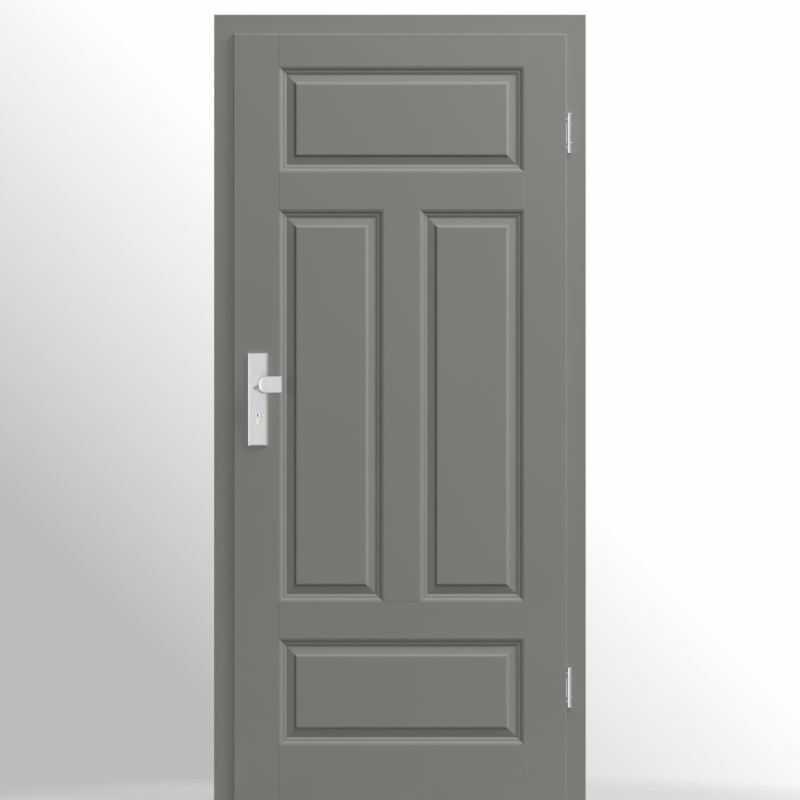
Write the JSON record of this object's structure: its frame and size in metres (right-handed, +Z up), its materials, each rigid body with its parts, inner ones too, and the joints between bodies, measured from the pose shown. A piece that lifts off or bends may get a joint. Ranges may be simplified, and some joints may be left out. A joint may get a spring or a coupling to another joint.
{
  "type": "rebated entry door with frame",
  "caption": "Rebated panel entry door leaf hinged in a wooden casing frame, with long plate, fixed outer knob, inner lever, mortise lock and profile cylinder.",
  "frame": {"origin": "middle of the door opening at finished floor level, on the plane of the front casing's face", "axes": "+X to the hinge side as seen from the pull side, -Y out of the wall towards the pull side, +Z up"},
  "size_m": [0.961, 0.254, 2.043],
  "materials": {
    "lacquered_wood": "satin grey lacquer",
    "seal_rubber": "matte",
    "beech": "raw",
    "bush_polymer": "matte",
    "satin_metal": "satin",
    "hinge_steel": "satin",
    "nickel_brass": "nickel plated",
    "zinc_steel": "zinc plated",
    "spring_steel": "bright"
  },
  "bodies": {
    "frame": {"lining_hinge": "lacquered_wood", "lining_lock": "lacquered_wood", "lining_head": "lacquered_wood", "front_casing_hinge": "lacquered_wood", "front_casing_lock": "lacquered_wood", "front_casing_head": "lacquered_wood", "rear_casing_hinge": "lacquered_wood", "rear_casing_lock": "lacquered_wood", "rear_casing_head": "lacquered_wood", "seal_hinge": "seal_rubber", "seal_lock": "seal_rubber", "seal_head": "seal_rubber", "strike_plate": "zinc_steel", "strike_screws": "zinc_steel", "hinge_receiver_upper": "zinc_steel", "hinge_receiver_lower": "zinc_steel", "receiver_screws": "zinc_steel", "hinge_frame_part_upper": "hinge_steel", "hinge_frame_part_lower": "hinge_steel", "hinge_pin_upper": "zinc_steel", "hinge_pin_lower": "zinc_steel"},
    "leaf": {"stile_lock": "lacquered_wood", "stile_hinge": "lacquered_wood", "rail_top": "lacquered_wood", "rail_upper": "lacquered_wood", "rail_lower": "lacquered_wood", "rail_bottom": "lacquered_wood", "mullion": "lacquered_wood", "panel_top": "lacquered_wood", "panel_left": "lacquered_wood", "panel_right": "lacquered_wood", "panel_bottom": "lacquered_wood", "leaf_dowels": "beech", "hinge_leaf_part_upper": "hinge_steel", "hinge_leaf_part_lower": "hinge_steel", "hinge_bushes_upper": "bush_polymer", "hinge_bushes_lower": "bush_polymer", "hinge_caps_upper": "hinge_steel", "hinge_caps_lower": "hinge_steel", "lock_case": "zinc_steel", "lock_cover": "zinc_steel", "lock_faceplate": "zinc_steel", "faceplate_screws": "zinc_steel", "cylinder_body": "nickel_brass", "cylinder_screw": "zinc_steel", "outer_plate": "satin_metal", "outer_knob": "satin_metal", "inner_plate": "satin_metal", "plate_screws": "zinc_steel", "latch_spring": "spring_steel"},
    "lever": {"inner_lever": "satin_metal", "spindle": "zinc_steel", "lock_follower": "zinc_steel"},
    "latch": {"latch_bolt": "zinc_steel"},
    "bolt": {"dead_bolt": "zinc_steel"},
    "plug_outside": {"plug_outer": "nickel_brass", "cylinder_cam": "nickel_brass"},
    "plug_inside": {"plug_inner": "nickel_brass"}
  },
  "joints": [
    {"name": "leaf_swing", "type": "hinge", "parent": "frame", "child": "leaf", "pos_m": [0.4383, -0.0083, 1], "axis": [0, 0, 1], "range_deg": [0, 170]},
    {"name": "lever_turn", "type": "hinge", "parent": "leaf", "child": "lever", "pos_m": [-0.367, 0.04, 1.079], "axis": [0, 1, 0], "range_deg": [0, 40], "stiffness_Nm_per_rad": 1.6, "springref_deg": -20.05},
    {"name": "latch_slide", "type": "slide", "parent": "leaf", "child": "latch", "axis": [1, 0, 0], "range_m": [0, 0.012], "deforming": ["latch_spring"]},
    {"name": "plug_outer_turn", "type": "hinge", "parent": "leaf", "child": "plug_outside", "pos_m": [-0.367, 0, 1.007], "axis": [0, -1, 0], "range_deg": [0, 720]},
    {"name": "dead_bolt_slide", "type": "slide", "parent": "leaf", "child": "bolt", "axis": [-1, 0, 0], "range_m": [0, 0.02]},
    {"name": "plug_inner_turn", "type": "hinge", "parent": "leaf", "child": "plug_inside", "pos_m": [-0.367, 0.03, 1.007], "axis": [0, -1, 0], "range_deg": [0, 720]}
  ],
  "couplings": [
    {"joint": "latch_slide", "follows": "lever_turn", "m_per_rad": 0.017188},
    {"joint": "plug_outer_turn", "follows": "dead_bolt_slide", "rad_per_m": 628.3}
  ]
}
